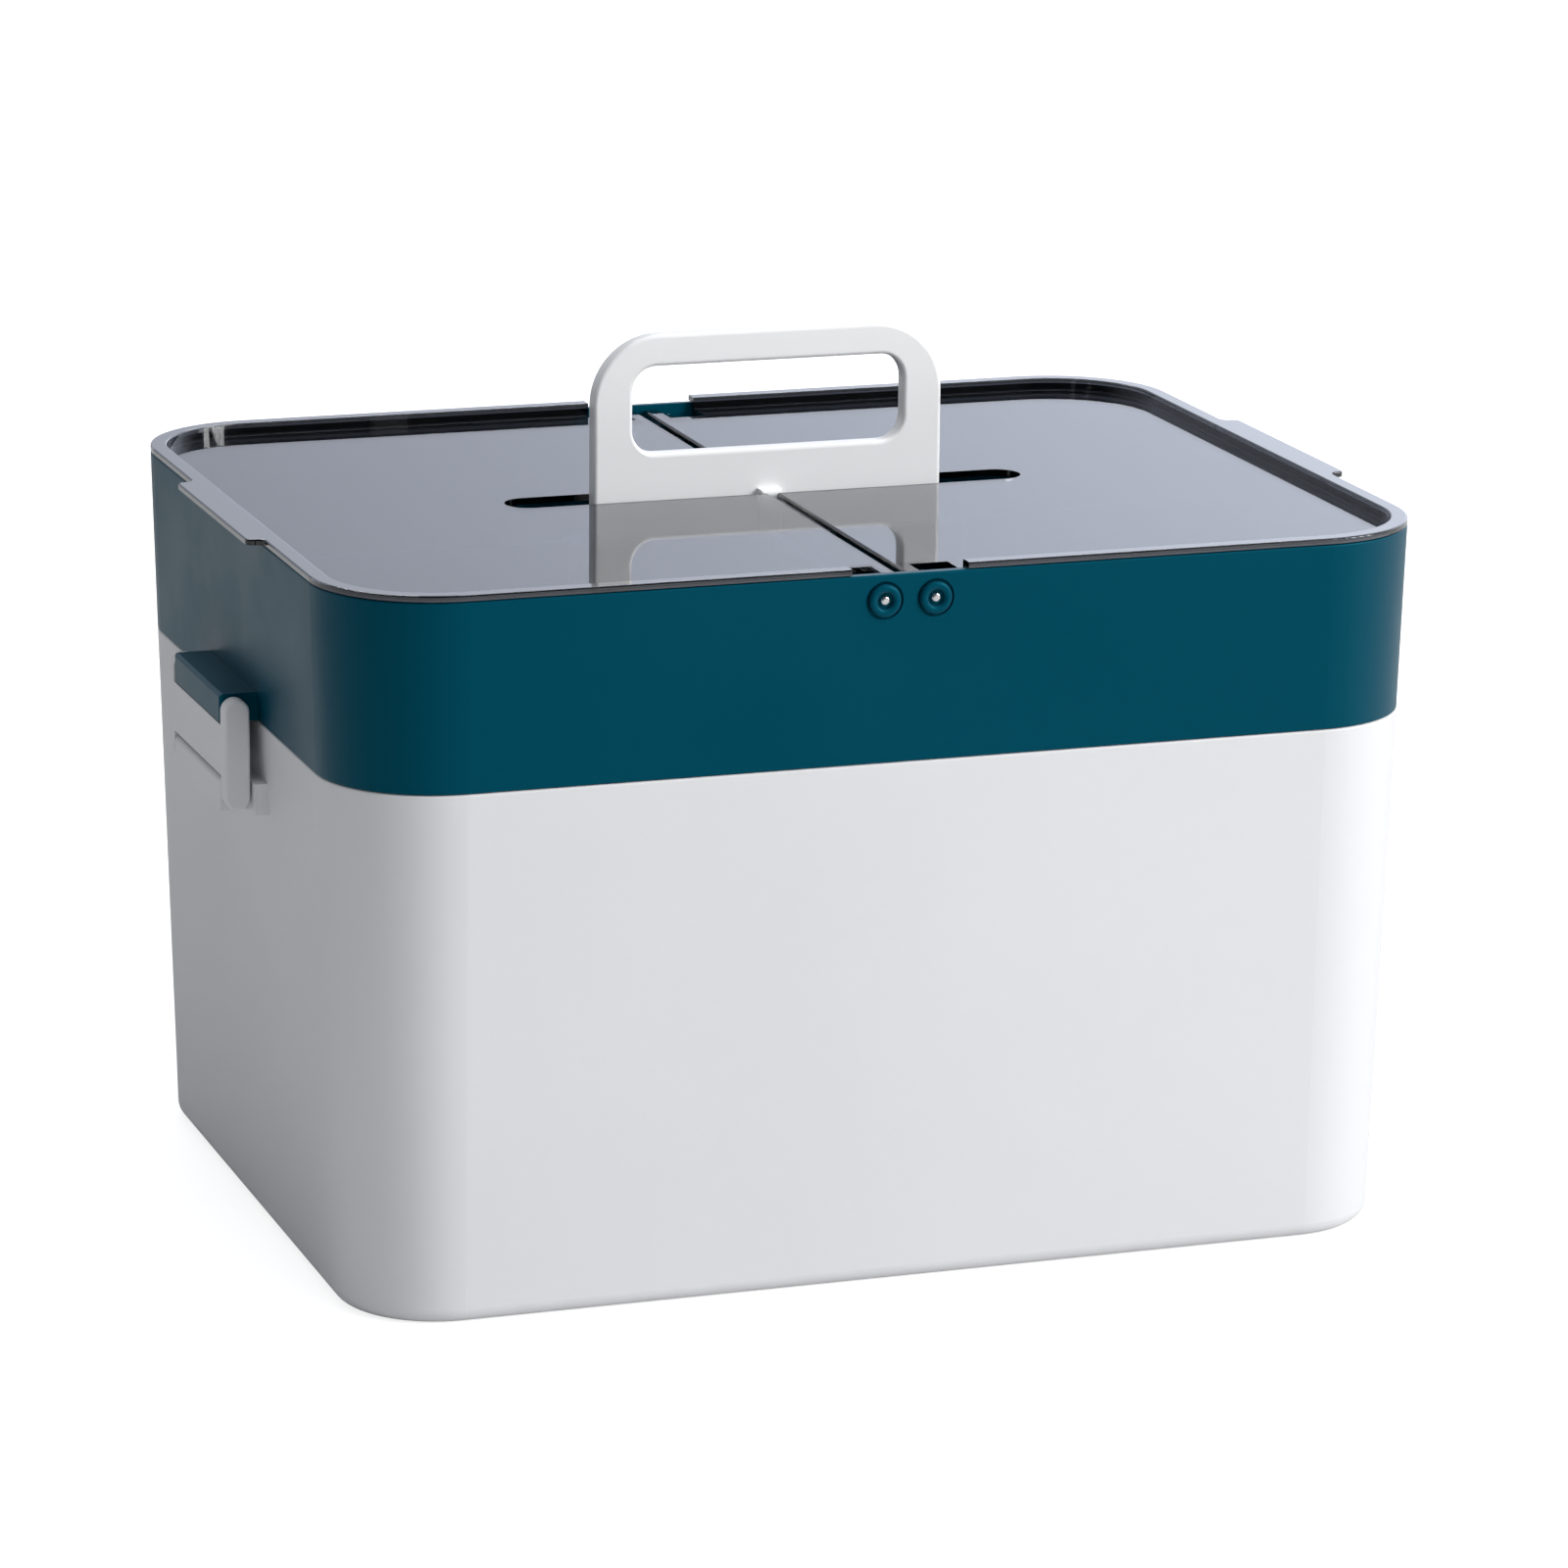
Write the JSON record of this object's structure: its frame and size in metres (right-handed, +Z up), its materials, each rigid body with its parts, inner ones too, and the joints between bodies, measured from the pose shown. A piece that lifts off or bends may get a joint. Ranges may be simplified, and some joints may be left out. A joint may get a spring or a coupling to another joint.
{
  "type": "first aid box with handle",
  "caption": "Household first aid box: white bin, teal compartment tray, smoked flap lids that fold up round a fixed plate handle, and swing clips at the sides.",
  "frame": {"origin": "on the ground under the middle of the box", "axes": "+X across the width to the right of someone facing the front, +Y from front to back, +Z up"},
  "size_m": [0.35, 0.256, 0.2585],
  "materials": {
    "white_bin_plastic": "fine satin white moulded plastic",
    "teal_plastic": "fine satin deep teal moulded plastic",
    "white_gloss_plastic": "smooth glossy white plastic",
    "smoked_lid_plastic": "polished smoked see-through plastic",
    "pin_steel": "bright steel"
  },
  "bodies": {
    "bin": {"lower_bin": "white_bin_plastic", "clip_pin_left": "pin_steel", "clip_pin_right": "pin_steel"},
    "tray": {"upper_tray": "teal_plastic", "side_ledge_left": "teal_plastic", "side_ledge_right": "teal_plastic", "carry_handle": "white_gloss_plastic", "handle_screw_left": "pin_steel", "handle_screw_right": "pin_steel", "hinge_pin_front_left": "pin_steel", "hinge_pin_front_right": "pin_steel", "hinge_pin_rear_left": "pin_steel", "hinge_pin_rear_right": "pin_steel", "hinge_bush_front_left": "teal_plastic", "hinge_bush_front_right": "teal_plastic", "hinge_bush_rear_left": "teal_plastic", "hinge_bush_rear_right": "teal_plastic"},
    "left_lid": {"lid_left": "smoked_lid_plastic"},
    "right_lid": {"lid_right": "smoked_lid_plastic"},
    "left_clip": {"clip_left": "white_bin_plastic"},
    "right_clip": {"clip_right": "white_bin_plastic"}
  },
  "joints": [
    {"name": "tray_lift", "type": "slide", "parent": "bin", "child": "tray", "axis": [0, 0, 1], "range_m": [0, 0.15]},
    {"name": "lid_left_swing", "type": "hinge", "parent": "tray", "child": "left_lid", "pos_m": [-0.0076, 0, 0.2037], "axis": [0, 1, 0], "range_deg": [0, 78]},
    {"name": "lid_right_swing", "type": "hinge", "parent": "tray", "child": "right_lid", "pos_m": [0.0076, 0, 0.2037], "axis": [0, -1, 0], "range_deg": [0, 78]},
    {"name": "clip_left_swing", "type": "hinge", "parent": "bin", "child": "left_clip", "pos_m": [-0.1712, 0, 0.1352], "axis": [0, -1, 0], "range_deg": [0, 120]},
    {"name": "clip_right_swing", "type": "hinge", "parent": "bin", "child": "right_clip", "pos_m": [0.1712, 0, 0.1352], "axis": [0, 1, 0], "range_deg": [0, 120]}
  ]
}
